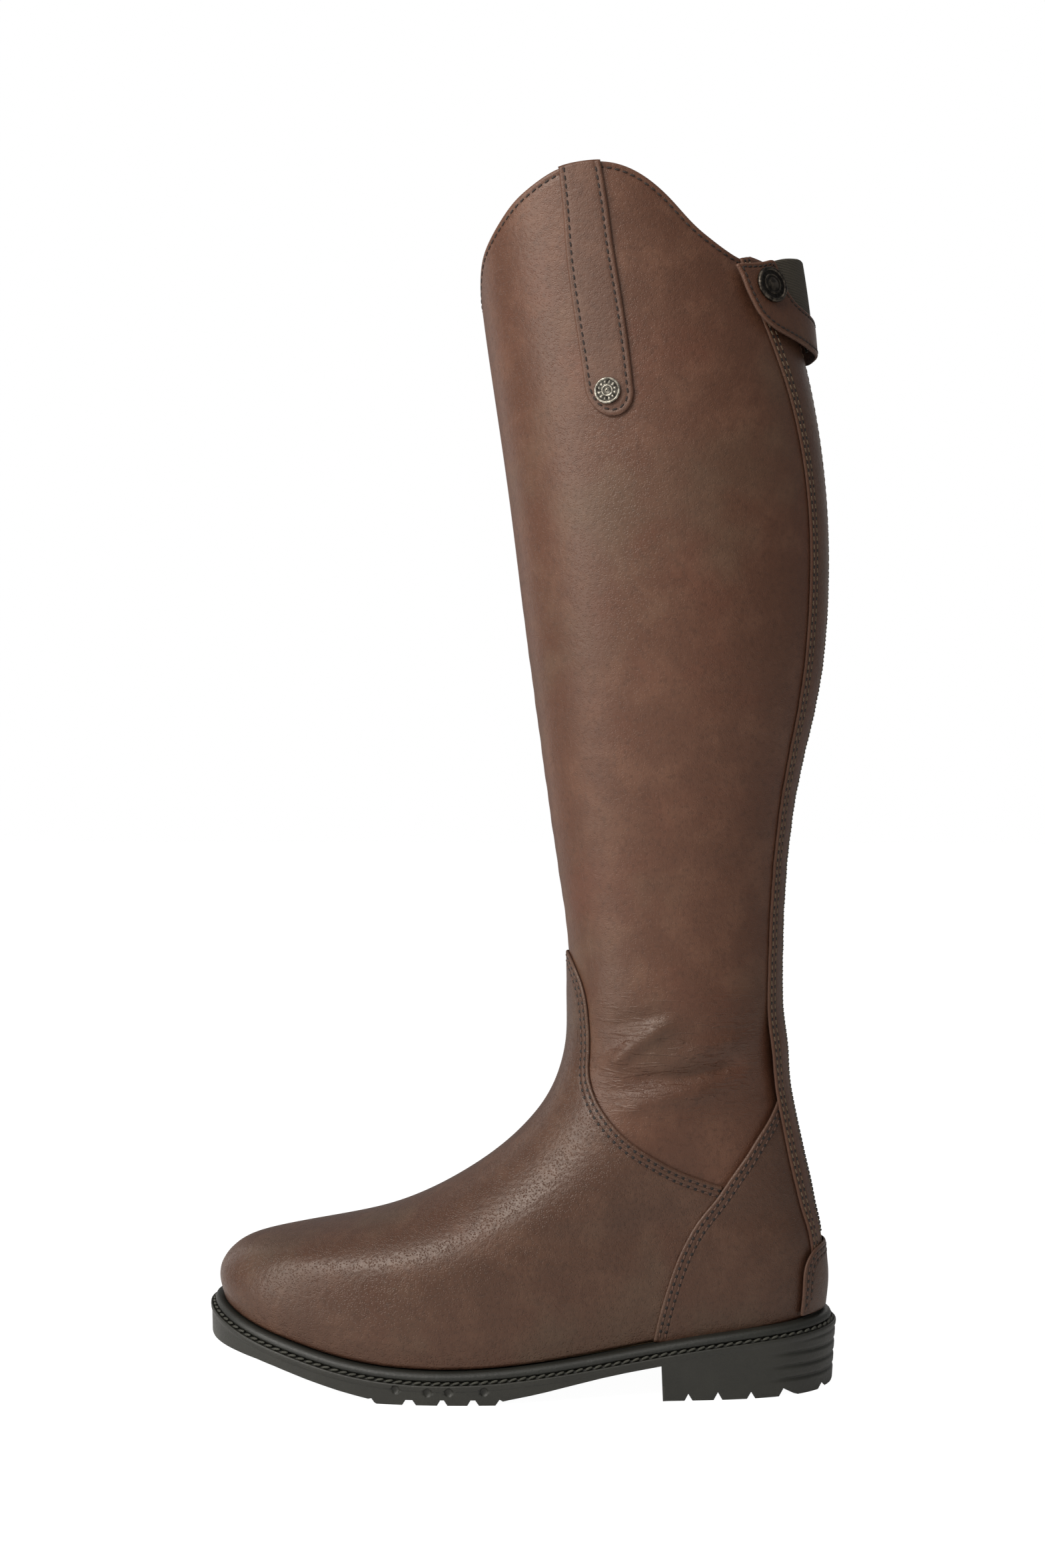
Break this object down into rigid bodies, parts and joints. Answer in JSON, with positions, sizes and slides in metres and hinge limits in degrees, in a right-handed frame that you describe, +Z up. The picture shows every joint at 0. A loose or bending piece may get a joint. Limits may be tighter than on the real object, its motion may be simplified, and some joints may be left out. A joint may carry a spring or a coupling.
{
  "type": "riding boot",
  "caption": "Tall brown leather riding boot with raised outer topline, back zip under a snap tab, side strap with stud, welted rubber sole with lugged heel.",
  "frame": {"origin": "centre of the base rectangle, on the ground under the boot", "axes": "+X from toe to heel, +Y towards the inner side, -Y the outer side, +Z up"},
  "size_m": [0.2842, 0.1098, 0.534],
  "materials": {
    "leather": "oiled brown, soft sheen",
    "lining": "matt",
    "rubber": "matt, near black",
    "thread": "waxed thread",
    "board": "raw fibre board",
    "steel": "plain",
    "antique": "dark antique",
    "silver": "worn antique silver",
    "elastic": "woven elastic",
    "nylon": "dark"
  },
  "bodies": {
    "boot": {"leg_outer": "leather", "leg_inner": "leather", "vamp": "leather", "quarter_outer": "leather", "quarter_inner": "leather", "back_strip_outer": "leather", "back_strip_inner": "leather", "zip_tape_outer": "nylon", "zip_tape_inner": "nylon", "zip_coil_outer": "nylon", "zip_coil_inner": "nylon", "lining_foot": "lining", "lining_leg": "lining", "heel_counter": "board", "toe_puff": "board", "heel_tab": "leather", "welt": "rubber", "welt_thread": "thread", "outsole": "rubber", "insole_board": "board", "cork_filler": "board", "shank": "steel", "sock_liner": "lining", "side_strap": "leather", "badge_stud": "silver", "badge_washer": "steel", "tab_patch": "leather", "snap_stud": "antique"},
    "tab": {"snap_tab": "leather", "tab_elastic": "elastic", "snap_cap": "antique", "snap_socket": "antique"},
    "slider": {"zip_slider": "antique"},
    "pull": {"zip_pull": "antique"}
  },
  "joints": [
    {"name": "tab_swing", "type": "hinge", "parent": "boot", "child": "tab", "pos_m": [0.10517, 0.0392, 0.479], "axis": [-0.2856, -0.0097, 0.9583], "range_deg": [0, 100]},
    {"name": "slider_run", "type": "hinge", "parent": "boot", "child": "slider", "pos_m": [-0.23073, 0.00121, 0.3661], "axis": [0, 1, 0], "range_deg": [0, 28]},
    {"name": "pull_swing", "type": "hinge", "parent": "slider", "child": "pull", "pos_m": [0.1251, 0.00121, 0.47657], "axis": [0, -1, 0], "range_deg": [0, 4]}
  ]
}
